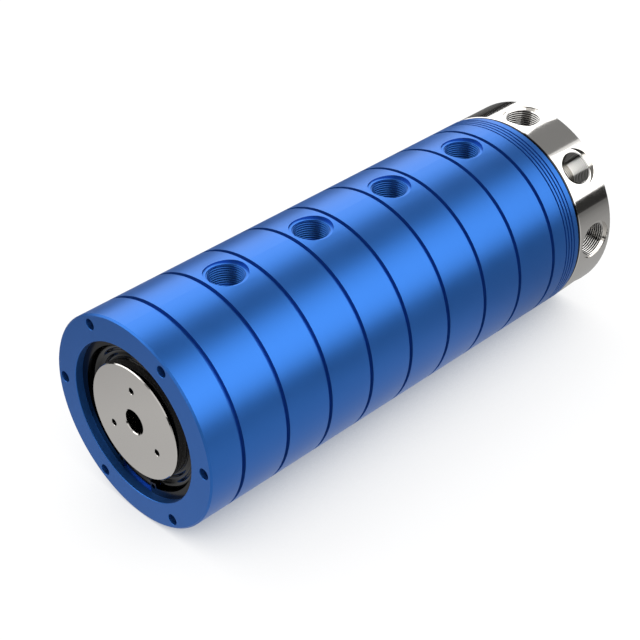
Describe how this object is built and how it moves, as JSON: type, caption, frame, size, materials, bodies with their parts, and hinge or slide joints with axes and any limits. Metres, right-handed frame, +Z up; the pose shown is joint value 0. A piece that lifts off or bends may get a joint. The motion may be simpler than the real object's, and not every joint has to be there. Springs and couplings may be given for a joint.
{
  "type": "hydraulic rotary union",
  "caption": "Hydraulic rotary union: a grooved blue cylindrical housing with threaded ports on top and a ported steel shaft flange that turns in it.",
  "frame": {"origin": "centre of the front face of the housing, on the rotation axis", "axes": "+X along the rotation axis, from the front face towards the shaft's flange; +Z up, the way the housing ports point"},
  "size_m": [0.342, 0.13, 0.13],
  "materials": {
    "blue_anodised_aluminium": "satin blue anodised",
    "black_spring_steel": "black oxide, oiled",
    "seal_rubber": "smooth moulded",
    "bearing_steel": "ground",
    "filled_ptfe": "turned, bronze filled",
    "energizer_rubber": "matt",
    "stainless_steel": "polished",
    "plug_steel": "zinc plated",
    "pressed_cage_steel": "pressed"
  },
  "bodies": {
    "housing": {"housing": "blue_anodised_aluminium", "front_seal_circlip": "black_spring_steel", "front_shaft_seal": "seal_rubber", "rear_shaft_seal": "seal_rubber", "front_bearing_cup": "bearing_steel", "rear_bearing_cup": "bearing_steel", "seal_ring_1": "filled_ptfe", "seal_ring_2": "filled_ptfe", "seal_ring_3": "filled_ptfe", "seal_ring_4": "filled_ptfe", "seal_ring_5": "filled_ptfe", "energizer_ring_1": "energizer_rubber", "energizer_ring_2": "energizer_rubber", "energizer_ring_3": "energizer_rubber", "energizer_ring_4": "energizer_rubber", "energizer_ring_5": "energizer_rubber"},
    "shaft": {"shaft": "stainless_steel", "shaft_circlip": "black_spring_steel", "front_bearing_cone": "bearing_steel", "rear_bearing_cone": "bearing_steel", "passage_plug_1": "plug_steel", "passage_plug_2": "plug_steel", "passage_plug_3": "plug_steel", "passage_plug_4": "plug_steel"},
    "front_roller_set": {"front_bearing_rollers": "bearing_steel", "front_bearing_cage": "pressed_cage_steel"},
    "rear_roller_set": {"rear_bearing_rollers": "bearing_steel", "rear_bearing_cage": "pressed_cage_steel"}
  },
  "joints": [
    {"name": "shaft_spin", "type": "hinge", "parent": "housing", "child": "shaft", "pos_m": [0.17, 0, 0], "axis": [1, 0, 0], "continuous": true},
    {"name": "front_cage_orbit", "type": "hinge", "parent": "housing", "child": "front_roller_set", "pos_m": [0.032, 0, 0], "axis": [1, 0, 0], "continuous": true},
    {"name": "rear_cage_orbit", "type": "hinge", "parent": "housing", "child": "rear_roller_set", "pos_m": [0.2935, 0, 0], "axis": [1, 0, 0], "continuous": true}
  ],
  "couplings": [
    {"joint": "front_cage_orbit", "follows": "shaft_spin", "ratio": 0.4595},
    {"joint": "rear_cage_orbit", "follows": "shaft_spin", "ratio": 0.4638}
  ]
}
